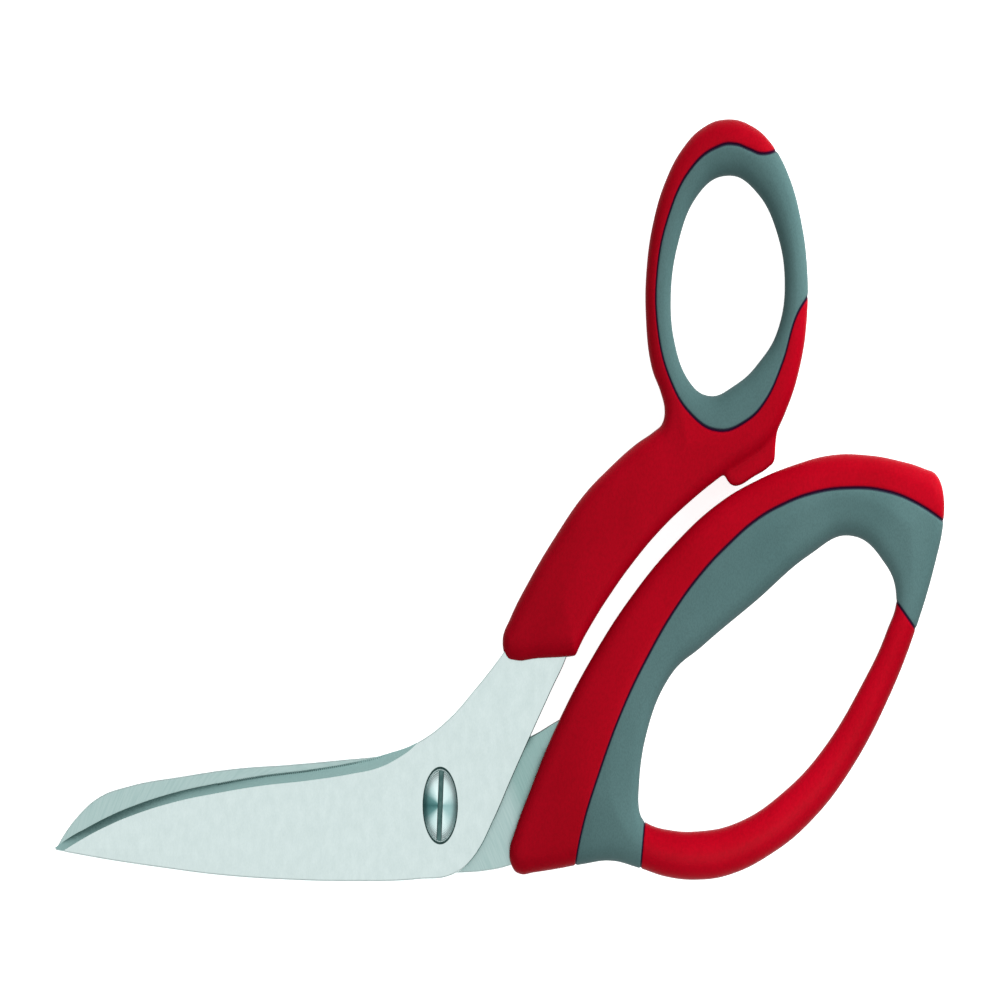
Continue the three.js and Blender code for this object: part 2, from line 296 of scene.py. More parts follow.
def mixColour(tree, how, factor, first, second):
    # each may be a plain value or the output of another node
    mix = tree.nodes.new("ShaderNodeMix")
    mix.data_type = "RGBA"
    mix.blend_type = how
    # the node has an A and a B for every data type: 6, 7 and output 2 are those for colours
    for index, value in ((0, factor), (6, first), (7, second)):
        if isinstance(value, bpy.types.NodeSocket):
            tree.links.new(value, mix.inputs[index])
        else:
            mix.inputs[index].default_value = value
    return mix.outputs[2]


def addBump(tree, surface, height, strength, distance):
    bump = tree.nodes.new("ShaderNodeBump")
    bump.inputs["Strength"].default_value = strength
    bump.inputs["Distance"].default_value = distance
    tree.links.new(height, bump.inputs["Height"])
    tree.links.new(bump.outputs["Normal"], surface.inputs["Normal"])


def placeFrom(tree, point):
    # object coordinates counted from a point
    place = tree.nodes.new("ShaderNodeTexCoord")
    centre = tree.nodes.new("ShaderNodeVectorMath")
    centre.operation = "SUBTRACT"
    centre.inputs[1].default_value = point
    tree.links.new(place.outputs["Object"], centre.inputs[0])
    return centre.outputs["Vector"]


def progress(tree, value, start, end):
    # 0 to 1 as the value goes from start to end, in millimetres
    scale = tree.nodes.new("ShaderNodeMapRange")
    scale.inputs["From Min"].default_value = start * mm
    scale.inputs["From Max"].default_value = end * mm
    tree.links.new(value, scale.inputs["Value"])
    return scale.outputs["Result"]


def awayFromContact(tree, start, end):
    # by the height above or below the plane where the blades meet
    parts = tree.nodes.new("ShaderNodeSeparateXYZ")
    size = tree.nodes.new("ShaderNodeMath")
    size.operation = "ABSOLUTE"
    tree.links.new(placeFrom(tree, pivot), parts.inputs["Vector"])
    tree.links.new(parts.outputs["Z"], size.inputs[0])
    return progress(tree, size.outputs["Value"], start, end)


def beyondLine(tree, direction, start, end):
    # by the distance from the pivot along a direction
    along = tree.nodes.new("ShaderNodeVectorMath")
    along.operation = "DOT_PRODUCT"
    along.inputs[1].default_value = direction
    tree.links.new(placeFrom(tree, pivot), along.inputs[0])
    return progress(tree, along.outputs["Value"], start, end)


steel = {
    "face": ((0.60, 0.705, 0.695), (0.65, 0.755, 0.745)),
    "inside": (0.405, 0.54, 0.525),
    # painted shade on the inner face past the pivot
    "tang": (0.28, 0.43, 0.41),
    # painted dark reflection on the bevel, darkest at the cutting edge: its tones from the cutting edge
    # to the face, between two distances from the plane of contact
    "bevel": ((0.15, 0.27, 0.26), (0.16, 0.28, 0.27), (0.165, 0.275, 0.265)),
    "bevelReflectionMiddle": 0.14,       # where the middle tone stands, as a share of the way
    "bevelReflectionDepths": (0.25, 2.3),
    # painted shade on the edges that look towards the handles
    "backEdgeShade": ((0.08, 0.17, 0.16), (0.14, 0.25, 0.24)),
    # painted shade in the slot and the recess round the screw's head
    "recessShade": ((0.05, 0.12, 0.115), (0.12, 0.22, 0.21)),
    # what the grinding wheel's marks run round, and how closely they are set along their arcs
    "wheelCentre": (-28, -39, 0),
    "markSqueeze": 4,
    # painted shade on the inner face begins along this direction from the pivot
    "tangDirection": (0.786, 0.618, 0),
    "tangStart": 12.3,
    "tangEnd": 15.0,
    # painted reflection: light and dark fans round the screw's head, share of a turn and brightness
    "paintedFans": [(0.0, 0.16), (0.05, 0.3), (0.11, 0.8), (0.2, 1.0), (0.33, 0.95), (0.44, 0.62),
             (0.5, 0.55), (0.57, 0.9), (0.7, 1.0), (0.84, 1.0), (0.9, 0.75), (0.95, 0.3), (1.0, 0.16)],
}


def satinSteel():
    # the outer faces: a fine, even sanded grain
    material, tree, surface = newMaterial("satinSteel", 0.36, 1.0)
    cloud = noise(tree, 700, 5)
    grain = noise(tree, 3200, 3)
    tone = ramp(tree, cloud, *steel["face"])
    speck = ramp(tree, grain, (0.93, 0.94, 0.94), (1, 1, 1))
    tree.links.new(mixColour(tree, "MULTIPLY", 1.0, tone, speck), surface.inputs["Base Color"])
    tree.links.new(spread(tree, grain, 0.32, 0.44), surface.inputs["Roughness"])
    addBump(tree, surface, grain, 0.25, 0.00001)
    return material


def wheelMarks(tree, scale):
    # noise drawn out along arcs, as a grinding wheel leaves them
    nodes, links = tree.nodes, tree.links
    centred = placeFrom(tree, pivot + Vector(steel["wheelCentre"]) * mm)
    radius = nodes.new("ShaderNodeVectorMath")
    radius.operation = "LENGTH"
    parts = nodes.new("ShaderNodeSeparateXYZ")
    angle = nodes.new("ShaderNodeMath")
    angle.operation = "ARCTAN2"
    along = nodes.new("ShaderNodeMath")
    along.operation = "MULTIPLY"
    along.inputs[1].default_value = steel["markSqueeze"] * mm
    polar = nodes.new("ShaderNodeCombineXYZ")
    texture = nodes.new("ShaderNodeTexNoise")
    texture.inputs["Scale"].default_value = scale
    texture.inputs["Detail"].default_value = 2
    links.new(centred, radius.inputs[0])
    links.new(centred, parts.inputs["Vector"])
    links.new(parts.outputs["Y"], angle.inputs[0])
    links.new(parts.outputs["X"], angle.inputs[1])
    links.new(angle.outputs["Value"], along.inputs[0])
    links.new(radius.outputs["Value"], polar.inputs["X"])
    links.new(along.outputs["Value"], polar.inputs["Y"])
    links.new(polar.outputs["Vector"], texture.inputs["Vector"])
    return texture.outputs["Fac"]


def groundSteel():
    # the inner faces: arcs of the grinding wheel, and painted shade that darkens the face beyond a line
    # past the pivot
    material, tree, surface = newMaterial("groundSteel", 0.34, 1.0)
    marks = wheelMarks(tree, 3400)
    fine = ramp(tree, marks, (0.85, 0.89, 0.89), (1, 1, 1), 0.36, 0.6)
    tang = beyondLine(tree, steel["tangDirection"], steel["tangStart"], steel["tangEnd"])
    broad = ramp(tree, tang, steel["inside"], steel["tang"], 0.0, 1.0)
    tree.links.new(mixColour(tree, "MULTIPLY", 1.0, broad, fine), surface.inputs["Base Color"])
    tree.links.new(spread(tree, marks, 0.26, 0.42), surface.inputs["Roughness"])
    addBump(tree, surface, marks, 0.35, 0.00002)
    return material


def bevelSteel():
    # the ground bevel of a cutting edge, with marks straight across it, and a painted dark reflection
    # that lightens from the edge towards the face
    material, tree, surface = newMaterial("bevelSteel", 0.3, 1.0)
    marks = noise(tree, 2200, 2, length=8, towards=80)
    depth = awayFromContact(tree, *steel["bevelReflectionDepths"])
    low, middle, high = steel["bevel"]
    tone = ramp(tree, depth, low, high, 0.0, 1.0, [(steel["bevelReflectionMiddle"], middle)])
    speck = ramp(tree, marks, (0.86, 0.88, 0.88), (1, 1, 1))
    tree.links.new(mixColour(tree, "MULTIPLY", 1.0, tone, speck), surface.inputs["Base Color"])
    tree.links.new(spread(tree, marks, 0.26, 0.4), surface.inputs["Roughness"])
    addBump(tree, surface, marks, 0.2, 0.00001)
    return material


def paintedShadeSteel():
    # painted shade on the blades' edges that look towards the handles, duller than their faces
    material, tree, surface = newMaterial("paintedShadeSteel", 0.45, 1.0)
    marks = noise(tree, 2400, 3)
    tree.links.new(ramp(tree, marks, *steel["backEdgeShade"]), surface.inputs["Base Color"])
    tree.links.new(spread(tree, marks, 0.4, 0.55), surface.inputs["Roughness"])
    return material


def paintedFanTone(brightness):
    # the darker fans of the painted reflection are the greener ones
    return brightness ** 1.5 * 0.76, brightness * 0.93, brightness * 0.92


def turnedSteel():
    # the screw's head: rings left by the lathe, and a painted reflection of light and dark fans round
    # them
    material, tree, surface = newMaterial("turnedSteel", 0.24, 1.0)
    nodes, links = tree.nodes, tree.links
    centred = placeFrom(tree, pivot)
    rings = nodes.new("ShaderNodeTexWave")
    rings.wave_type = "RINGS"
    rings.rings_direction = "Z"
    rings.inputs["Scale"].default_value = 1500
    rings.inputs["Distortion"].default_value = 0.4
    rings.inputs["Detail"].default_value = 2
    links.new(centred, rings.inputs["Vector"])
    sweepRound = nodes.new("ShaderNodeTexGradient")
    sweepRound.gradient_type = "RADIAL"
    links.new(centred, sweepRound.inputs["Vector"])
    stops = [(place, paintedFanTone(brightness)) for place, brightness in steel["paintedFans"]]
    (start, first), (end, last) = stops[0], stops[-1]
    paintedFan = ramp(tree, sweepRound.outputs["Fac"], first, last, start, end, stops[1:-1])
    lines = ramp(tree, rings.outputs["Fac"], (0.82, 0.84, 0.84), (1, 1, 1), 0.2, 0.8)
    links.new(mixColour(tree, "MULTIPLY", 1.0, paintedFan, lines), surface.inputs["Base Color"])
    links.new(spread(tree, rings.outputs["Fac"], 0.2, 0.32), surface.inputs["Roughness"])
    addBump(tree, surface, rings.outputs["Fac"], 0.25, 0.00002)
    return material


def recessShadeSteel():
    # the slot and the recess round the head, darkened with painted shade
    material, tree, surface = newMaterial("recessShadeSteel", 0.5, 1.0)
    cloud = noise(tree, 1800, 3)
    tree.links.new(ramp(tree, cloud, *steel["recessShade"]), surface.inputs["Base Color"])
    tree.links.new(spread(tree, cloud, 0.4, 0.6), surface.inputs["Roughness"])
    return material


plastics = {
    "redPlastic": {
        "tones": ((0.224, 0.0003, 0.005), (0.258, 0.0004, 0.0065)),
        # painted shade in the groove between the plastics
        "line": (0.012, 0.0, 0.008, 1),
        "roughness": 0.42,
        "specular": 0.03,
        "grain": 2500,         # grains in a metre
        "grainDepth": 0.00001,
    },
    "greyRubber": {
        "tones": ((0.046, 0.092, 0.092), (0.054, 0.104, 0.104)),
        # painted shade in the groove between the plastics
        "line": (0.008, 0.006, 0.016, 1),
        "roughness": 0.62,
        "specular": 0.1,
        "grain": 4000,
        "grainDepth": 0.00003,
    },
}
# the painted shade in the groove between the plastics fades out between these distances
lineShadeWidth = (0.1, 0.28)        # the dark line between the plastics fades out between these


def mouldedPlastic(name):
    # a skin with a fine grain, whose colour darkens with painted shade in the groove between the two
    # plastics
    look = plastics[name]
    roughness = look["roughness"]
    material, tree, surface = newMaterial(name, roughness)
    surface.inputs["Specular IOR Level"].default_value = look["specular"]
    cloud = noise(tree, 90, 3)
    grain = noise(tree, look["grain"], 3)
    speck = ramp(tree, grain, (0.88, 0.88, 0.88), (1, 1, 1), 0.36, 0.6)
    tone = mixColour(tree, "MULTIPLY", 1.0, ramp(tree, cloud, *look["tones"]), speck)
    line = tree.nodes.new("ShaderNodeAttribute")
    line.attribute_name = "lineDistance"
    inLineShade = ramp(tree, line.outputs["Fac"], (1, 1, 1), (0, 0, 0), *lineShadeWidth)
    shaded = mixColour(tree, "MIX", inLineShade, tone, look["line"])
    varied = spread(tree, grain, roughness - 0.05, roughness + 0.07)
    tree.links.new(shaded, surface.inputs["Base Color"])
    tree.links.new(varied, surface.inputs["Roughness"])
    addBump(tree, surface, grain, 0.3, look["grainDepth"])
    return material


def whiteNylon():
    material, tree, surface = newMaterial("whiteNylon", 0.5)
    tone = ramp(tree, noise(tree, 400), (0.74, 0.73, 0.69), (0.8, 0.79, 0.75))
    tree.links.new(tone, surface.inputs["Base Color"])
    return material


steelFace = satinSteel()
steelInside = groundSteel()
steelBevel = bevelSteel()
steelTurned = turnedSteel()
steelRecessShade = recessShadeSteel()
steelPaintedShade = paintedShadeSteel()
redPlastic = mouldedPlastic("redPlastic")
greyRubber = mouldedPlastic("greyRubber")
nylon = whiteNylon()
print("materials made")


blades = {
    "thickness": 2.5,      # at the pivot
    "tipThickness": 1.8,
    "heel": -12.0,         # where the blades begin to thin towards the tips
    "tip": -87.0,
    "land": 0.25,          # upright part of a cutting edge
    "bevelWidth": 1.2,
    "softEdge": 0.18,      # rounding of every other edge
    "boreRadius": 2.56,
    "recessRadius": 3.98,  # round the screw's head
    "recessDepth": 0.9,
    "gap": 0.1,            # between the inner faces
    "faceNormal": 0.9,     # the z of the normal of a face, at least
    # edges that lean this far towards the handles get the painted shade
    "backShadeNormal": 0.25,    # the x of the normal of a back edge, at least
}
above = 12                     # well above the shears, for the ends of cutters
below = -1
contact = pivot.z
frontMiddle = contact + (blades["gap"] + blades["thickness"]) / 2 * mm
rearMiddle = contact - (blades["gap"] + blades["thickness"]) / 2 * mm

frontLoop = [
    (-86.8, -4.35, 1), (-83.4, -3.25), (-80, -2.4), (-75, -1.2), (-70, -0.2), (-60, 1.3), (-50, 2.3),
    (-40, 3.1), (-30, 3.65), (-20, 4.4), (-12, 5.3), (-5, 6.5), (2, 8.9), (8, 12), (14.3, 15.7),
    (17.6, 18), (22, 21.7), (30.1, 27.7), (38.5, 32.1), (43.5, 33.8), (46.3, 33.7), (46.4, 31.4),
    (44, 29.2), (40, 26.1), (34, 21.5), (30.2, 18), (28.4, 15.2), (25, 11.8), (20.3, 7.1),
    (16, 2.7), (12, -1.5), (8, -5), (3.5, -6.9), (-5, -7.55), (-20, -7.75), (-34, -7.6), (-50, -7.1),
    (-62, -6.4), (-74, -5.6), (-84.2, -4.78, 1),
]
rearLoop = [
    (-86.6, -4.55, 1), (-84.5, -2.85), (-81, -0.8), (-77, 0.8), (-70, 2), (-58, 3), (-46, 3.8),
    (-34, 4.2), (-22, 4.7), (-12, 5.2), (-5, 6), (2, 6.5), (9, 6.2), (14.5, 6.2), (20.3, 7.1),
    (26.4, 8.7), (30.8, 9.8), (36.4, 13.9), (42, 18), (46, 20.5), (48.3, 21), (48.2, 19.2),
    (43, 14.6), (39.7, 11.2), (36.3, 7.3), (33.2, 2.9), (30.4, -1.6), (28.2, -4.2), (25, -4.9),
    (20, -5.2), (15.6, -6.15), (10, -6.7), (3.5, -6.9), (-4, -6.95), (-12, -6.55), (-20, -6.45),
    (-30, -6.4), (-42, -6.15), (-54, -5.7), (-66, -5.15), (-76, -4.8), (-84, -4.75, 1),
]
# cutting edges from tip to heel; the last points leave the blade, so that the bevel runs out
frontEdge = [
    (-91, -5.6), (-86.8, -4.35), (-80, -2.4), (-75, -1.2), (-70, -0.2), (-60, 1.3), (-50, 2.3),
    (-40, 3.1), (-30, 3.65), (-20, 4.4), (-14, 5.05), (-10, 5.95), (-6.5, 7.1), (-3, 9),
]
rearEdge = [
    (-91, -4.7), (-84, -4.75), (-76, -4.8), (-66, -5.15), (-54, -5.7), (-42, -6.15),
    (-30, -6.4), (-20, -6.5), (-14, -6.95), (-9, -8), (-4, -9.9),
]


def thinTowardsTip(piece, side):
    # side is 1 where the outer face looks up, -1 where it looks down
    heel = pivot.x + blades["heel"] * mm
    slope = (blades["thickness"] - blades["tipThickness"]) / (blades["heel"] - blades["tip"])
    form = bmesh.new()
    form.from_mesh(piece.data)
    everything = form.verts[:] + form.edges[:] + form.faces[:]
    bmesh.ops.bisect_plane(form, geom=everything, plane_co=(heel, 0, 0), plane_no=(1, 0, 0))
    for vert in form.verts:
        if vert.co.x < heel and (vert.co.z - contact) * side > blades["thickness"] / 2 * mm:
            vert.co.z -= side * slope * (heel - vert.co.x)
    form.to_mesh(piece.data)
    form.free()


def bevelCutter(name, edge, side):
    # the wedge that the grinding takes off; for the rear blade it is turned upside down
    rise = (blades["thickness"] - blades["land"]) / blades["bevelWidth"]
    outside = 1.0              # past the edge
    over = 0.4                 # above the face
    section = [
        (outside, blades["land"] - rise * outside),
        (outside, blades["thickness"] + over),
        (-blades["bevelWidth"] - over / rise, blades["thickness"] + over),
    ]
    inner = blades["gap"] / 2
    placed = [(side * left, side * (up + inner)) for left, up in section]
    wedge = sweep(name, edge, placed, contact)
    # the cut bevel takes the painted dark reflection
    wedge.data.materials.append(steelBevel)
    return wedge


serration = {"from": -50.0, "to": -11.0, "pitch": 0.46, "radius": 0.17, "length": 1.0}


def edgeAt(x):
    # where the front blade's edge lies at x, and which way it runs there
    for left, right in zip(frontEdge, frontEdge[1:]):
        if left[0] <= x <= right[0]:
            along = right[0] - left[0]
            rise = right[1] - left[1]
            return left[1] + rise * (x - left[0]) / along, math.atan2(rise, along)


def serrationCutters():
    # fine notches across the bevel, which keep cloth and paper from sliding along the edge
    form = bmesh.new()
    count = int((serration["to"] - serration["from"]) / serration["pitch"])
    slope = math.atan2(blades["thickness"] - blades["land"], blades["bevelWidth"])
    radius = serration["radius"] * mm
    height = contact + (blades["gap"] / 2 + blades["land"]) * mm
    for index in range(count):
        x = serration["from"] + index * serration["pitch"]
        y, lean = edgeAt(x)
        made = bmesh.ops.create_cone(form, cap_ends=True, segments=4, radius1=radius, radius2=radius,
                                     depth=serration["length"] * mm)["verts"]
        turn = Matrix.Rotation(lean, 3, "Z") @ Matrix.Rotation(math.pi / 2 - slope, 3, "X")
        bmesh.ops.rotate(form, verts=made, cent=(0, 0, 0), matrix=turn)
        bmesh.ops.translate(form, verts=made, vec=(pivot.x + x * mm, pivot.y + y * mm, height))
    mesh = bpy.data.meshes.new("serration")
    form.to_mesh(mesh)
    form.free()
    mesh.materials.append(steelBevel)
    return addObject("serration", mesh)


def makeBlade(name, node, body, loop, edge, side):
    middle = frontMiddle if side > 0 else rearMiddle
    piece = slab(name, [loop], blades["thickness"], middle, rim=blades["softEdge"], steps=14)
    for material in (steelFace, steelInside, steelBevel, steelPaintedShade):
        piece.data.materials.append(material)
    thinTowardsTip(piece, side)
    carve(piece, bevelCutter(name + "Wedge", edge, side))
    bore = blades["boreRadius"]
    carve(piece, turned("bore", [(0, below), (bore, below), (bore, above), (0, above)]))
    # the inner face is ground, and the edges that look towards the handles are dull and carry painted
    # shade
    for polygon in piece.data.polygons:
        upright = polygon.normal.z * side
        if upright < -blades["faceNormal"]:
            polygon.material_index = 1
        elif polygon.material_index == 0 and abs(upright) < blades["faceNormal"]:
            if polygon.normal.x > blades["backShadeNormal"]:
                polygon.material_index = 3
    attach(piece, body)
    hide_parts(node)
    return piece


frontBlade = makeBlade("front_blade_ground", "front_blade", thumbBody, frontLoop, frontEdge, 1)
rearBlade = makeBlade("rear_blade_ground", "rear_blade", fingerBody, rearLoop, rearEdge, -1)
carve(frontBlade, serrationCutters())
recess = blades["recessRadius"]
recessFloor = frontMiddle / mm + blades["thickness"] / 2 - blades["recessDepth"]
recessProfile = [(0, recessFloor), (recess, recessFloor), (recess, above), (0, above)]
# the recess's walls and floor take the painted shade
carve(frontBlade, turned("recess", recessProfile, material=steelRecessShade))
for blade in (frontBlade, rearBlade):
    shade(blade, 25, flatTop=True)
print("blades ground")


screw = {
    "headRadius": 3.73,
    "headBottom": 7.17,
    "rim": 0.72,           # upright part of the head
    "dome": 0.95,
    "edge": 0.12,          # small step from the rim to the dome
    "underChamfer": 0.1,
    "domeSteps": 12,
    "shankRadius": 2.5,
    "end": 0.45,
    "endChamfer": 0.4,
    "slotWidth": 1.15,
    "slotLength": 12.0,    # of its cutter
    "slotHeight": 4.0,
    "slotRound": 0.18,
    "slotFloor": 8.0,
    "slotLean": -0.08,
    "dimple": 0.5,         # centre mark of the lathe
    "dimpleLip": 0.03,
    "dimpleRound": 0.08,
    "dimpleDepth": 0.3,
}


def screwProfile():
    # half of the screw's section, from the middle of its end to the middle of its head
    head = screw["headRadius"]
    shank = screw["shankRadius"]
    bottom = screw["headBottom"]
    rimTop = bottom + screw["rim"]
    profile = [(0, screw["end"]), (shank - screw["endChamfer"], screw["end"]),
               (shank, screw["end"] + screw["endChamfer"]), (shank, bottom),
               (head - screw["underChamfer"], bottom), (head, bottom + screw["underChamfer"]),
               (head, rimTop)]
    for step in range(screw["domeSteps"] + 1):
        angle = step / screw["domeSteps"] * math.pi / 2
        radius = (head - screw["edge"]) * math.cos(angle)
        if radius > screw["dimple"]:
            profile.append((radius, rimTop + screw["edge"] + screw["dome"] * math.sin(angle)))
    top = rimTop + screw["edge"] + screw["dome"]
    profile += [(screw["dimple"], top - screw["dimpleLip"]),
                (screw["dimple"] - screw["dimpleRound"], top - 3 * screw["dimpleLip"]),
                (0, top - screw["dimpleDepth"])]
    return profile


def slotCutter():
    # a bar whose two long lower edges are rounded
    form = bmesh.new()
    bmesh.ops.create_cube(form, size=1)
    size = (screw["slotWidth"] * mm, screw["slotLength"] * mm, screw["slotHeight"] * mm)
    bmesh.ops.scale(form, vec=size, verts=form.verts)
    lower = []
    for edge in form.edges:
        first, second = edge.verts
        if first.co.z < 0 and second.co.z < 0 and abs(first.co.y - second.co.y) > mm:
            lower.append(edge)
    bmesh.ops.bevel(form, geom=lower, offset=screw["slotRound"] * mm, offset_type="OFFSET",
                    affect="EDGES", segments=3, profile=0.5, material=-1)
    lean = Matrix.Rotation(screw["slotLean"], 3, "Z")
    height = (screw["slotFloor"] + screw["slotHeight"] / 2) * mm
    bmesh.ops.rotate(form, verts=form.verts, cent=(0, 0, 0), matrix=lean)
    bmesh.ops.translate(form, verts=form.verts, vec=(pivot.x, pivot.y, height))
    mesh = bpy.data.meshes.new("slot")
    form.to_mesh(mesh)
    form.free()
    # the slot's walls and floor take the painted shade
    mesh.materials.append(steelRecessShade)
    return addObject("slot", mesh)


def makeScrew():
    piece = turned("pivot_screw_turned", screwProfile())
    piece.data.materials.append(steelTurned)
    carve(piece, slotCutter())
    shade(piece, 30)
    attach(piece, fingerBody)
    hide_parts("pivot_screw")


nut = {
    "corner": 4.62,
    "bottom": 0.0,
    "top": 2.55,
    "chamfer": 0.45,       # height that the lower corners lose
    "chamferRun": 2.2,     # its width over its height
    "roundOver": 0.1,
    "bore": 2.56,
    "boreChamfer": 0.3,
}


def makeNut():
    bottom = nut["bottom"]
    top = nut["top"]
    corner = nut["corner"] * mm
    form = bmesh.new()
    bmesh.ops.create_cone(form, cap_ends=True, segments=6, radius1=corner, radius2=corner,
                          depth=(top - bottom) * mm)
    middle = (bottom + top) / 2 * mm
    bmesh.ops.translate(form, verts=form.verts, vec=(pivot.x, pivot.y, middle))
    mesh = bpy.data.meshes.new("pivot_nut_cut")
    form.to_mesh(mesh)
    form.free()
    piece = addObject("pivot_nut_cut", mesh)
    piece.data.materials.append(steelTurned)
    wide = nut["corner"] + nut["roundOver"]
    narrow = wide - nut["chamferRun"] * nut["chamfer"]
    rounded = turned("nutRound", [(0, bottom), (narrow, bottom), (wide, bottom + nut["chamfer"]),
                                  (wide, top), (0, top)])
    carve(piece, rounded, "INTERSECT")
    bore = nut["bore"]
    entry = bore + nut["boreChamfer"]
    carve(piece, turned("nutBore", [(0, below), (entry - below, below), (entry, bottom),
                                    (bore, bottom + nut["boreChamfer"]), (bore, above), (0, above)]))
    shade(piece, 25)
    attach(piece, fingerBody)
    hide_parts("pivot_nut")


makeScrew()
makeNut()
washerMesh = frame["nodes"]["head_washer"].data
washerMesh.materials.clear()
washerMesh.materials.append(nylon)
print("pivot turned")


handles = {
    "thickness": 10.4,
    "rim": 2.2,            # rounding drawn round every outline before the skin is smoothed
    "voxel": 0.33,
    "smoothRounds": 7,
    "crownDrop": 0.14,     # share of the thickness lost at the rims
    "crownReach": 7.5,     # how far from a rim the full thickness is reached
    "noseShare": 0.80,     # share of the thickness at the blades
    "noseStart": 15.0,     # distances from the pivot
    "noseEnd": 36.0,
    "grooveDepth": 0.15,
    "grooveWidth": 0.5,
    "pocketGap": 0.12,
    "lugThickness": 7.2,
    "lugRim": 0.6,
}

# the thumb ring swells a little at its shoulder and draws in towards the stop; angles in degrees
ring = {
    "centre": (64.5, 51.8),
    "radius": 18.35,
    "swell": 0.5,
    "swellAt": 50,
    "swellSpread": 25,
    "drawIn": 0.7,
    "drawInBelow": 15,
    "drawInOver": 60,
    "start": 202,
    "end": -38,
    "step": -16,
}


def ringPoints():
    points = []
    for angle in range(ring["start"], ring["end"], ring["step"]):
        swell = ring["swell"] * math.exp(-((angle - ring["swellAt"]) / ring["swellSpread"]) ** 2)
        drawn = ring["drawIn"] * smoothStep((ring["drawInBelow"] - angle) / ring["drawInOver"])
        radius = ring["radius"] + swell - drawn
        turn = math.radians(angle)
        points.append((ring["centre"][0] + radius * math.cos(turn),
                       ring["centre"][1] + radius * math.sin(turn)))
    return points


thumbLoop = [
    (14.0, 16.9), (15.6, 19.0), (20, 23.0), (26, 27.6), (32, 31.6), (38, 34.5), (44, 36.95),
    (48.2, 38.3), (50.1, 39.2), (50.5, 40.4), (49.7, 42.1), *ringPoints(),
    (77.6, 40.1), (74.4, 37.4), (70, 35.7), (65.5, 34.4), (62, 33.25), (56, 31), (50, 28.4),
    (44, 25.2), (38, 21.4), (33.5, 18.1), (31.6, 16.5), (30.45, 15.3, 1), (27.5, 15.15),
    (22, 15.0), (16.8, 14.75), (14.8, 15.2),
]
thumbHole = [
    (51.9, 52), (53.6, 57.6), (57.6, 62.2), (64.5, 64.4), (71, 62.8), (75.6, 58.8), (77.5, 53.6),
    (76.2, 49), (71.5, 45.2), (66, 42.9), (60.5, 41.9), (56, 43.4), (52.9, 47),
]
# the closing stop under the ring
lugLoop = [
    (63.2, 35.5), (64.3, 33.5), (65.5, 32.8), (66.9, 32.7), (70.4, 33.6), (74, 34.65),
    (75.2, 35.3), (75.4, 36.6), (75.5, 39.5), (70, 40), (64.5, 38.5),
]
thumbGripLoop = [
    (84.5, 53.2, 1), (82.8, 52.1), (80, 49.9), (77, 45.3), (73, 41.3), (68, 39.1), (62.5, 38.4),
    (57, 39.8), (52, 43.3), (49, 48.6), (48.8, 54.6), (51.7, 60.8), (56.5, 65.2), (63, 67.5),
    (66.5, 67.65), (69.5, 67.15), (72.2, 66.7), (75.8, 67.1), (78, 67.8, 1), (86, 67, 1),
]

fingerLoop = [
    (15.5, -4.9), (16.3, -6.4), (17.9, -7), (21, -6.85), (26, -6.5), (32, -6), (38.5, -5.65),
    (44.5, -6.35), (51, -7.3), (58, -7.6), (65, -7.1), (74, -5.1), (83, -1.8), (92, 3.4),
    (101, 11.1), (107.4, 18.6), (111.5, 25), (113.2, 28.8), (113.3, 31.8), (111.9, 33.7),
    (109, 34.45), (103, 35.3), (96, 35.85), (88, 35.85), (80, 34.9), (71, 33.2), (62, 30.7),
    (53, 26.9), (44, 22), (35, 15.8), (26, 8), (20, 1.3), (16.6, -2.9),
]
fingerHole = [
    (44.65, 1.4), (46.35, 7.2), (51.4, 13), (59, 16.3), (71, 20.9), (83, 25.6), (92, 27.6),
    (99.2, 25.3), (102.6, 21.4), (100.5, 17.9), (95, 12.5), (86, 5.7), (77, 1.3), (67, -1.7),
    (57, -2.65), (51, -2.45), (48, -2.1), (46.3, -1.7), (45.2, -1.15), (44.7, -0.2),
]
fingerGripLoop = [
    (30, -9, 1), (30.5, -6), (32, -2.3), (35.5, 3), (41, 9.8), (47, 15.5), (53, 20.2), (59, 23.9),
    (65, 26.8), (71, 29.2), (77, 30.8), (84, 32), (92, 32.5), (100, 32.2), (107, 31), (116, 28.2, 1),
    (112, 14.8, 1), (100, 22.6, 1), (60, 8, 1), (46.3, -0.2, 1), (44.6, -9, 1),
]


def mould(name, loops, extra=()):
    # the whole handle as one smooth body, before it is divided between the two plastics
    body = slab(name, loops, handles["thickness"], contact, rim=handles["rim"])
    form = bmesh.new()
    form.from_mesh(body.data)
    for other in extra:
        form.from_mesh(other.data)
        bpy.data.objects.remove(other)
    form.to_mesh(body.data)
    form.free()
    skin = body.modifiers.new("skin", "REMESH")
    skin.mode = "VOXEL"
    skin.voxel_size = handles["voxel"] * mm
    bake(body)
    rimDistance = distanceFrom(loops)
    for vertex in body.data.vertices:
        inwards = smoothStep(rimDistance(vertex.co) / (handles["crownReach"] * mm))
        share = 1 - handles["crownDrop"] * (1 - inwards)
        reach = (vertex.co.xy - pivot.xy).length / mm
        along = smoothStep((reach - handles["noseStart"]) / (handles["noseEnd"] - handles["noseStart"]))
        share *= handles["noseShare"] + (1 - handles["noseShare"]) * along
        vertex.co.z = contact + (vertex.co.z - contact) * share
    relax = body.modifiers.new("relax", "SMOOTH")
    relax.factor = 0.5
    relax.iterations = handles["smoothRounds"]
    bake(body)
    return body


def refineAlong(body, lineDistance):
    # a finer skin where the two plastics meet
    form = bmesh.new()
    form.from_mesh(body.data)
    reach = (handles["grooveWidth"] + handles["voxel"]) * mm
    near = {vert for vert in form.verts if lineDistance(vert.co) < reach}
    edges = [edge for edge in form.edges if edge.verts[0] in near and edge.verts[1] in near]
    bmesh.ops.subdivide_edges(form, edges=edges, cuts=1, use_grid_fill=True)
    form.to_mesh(body.data)
    form.free()


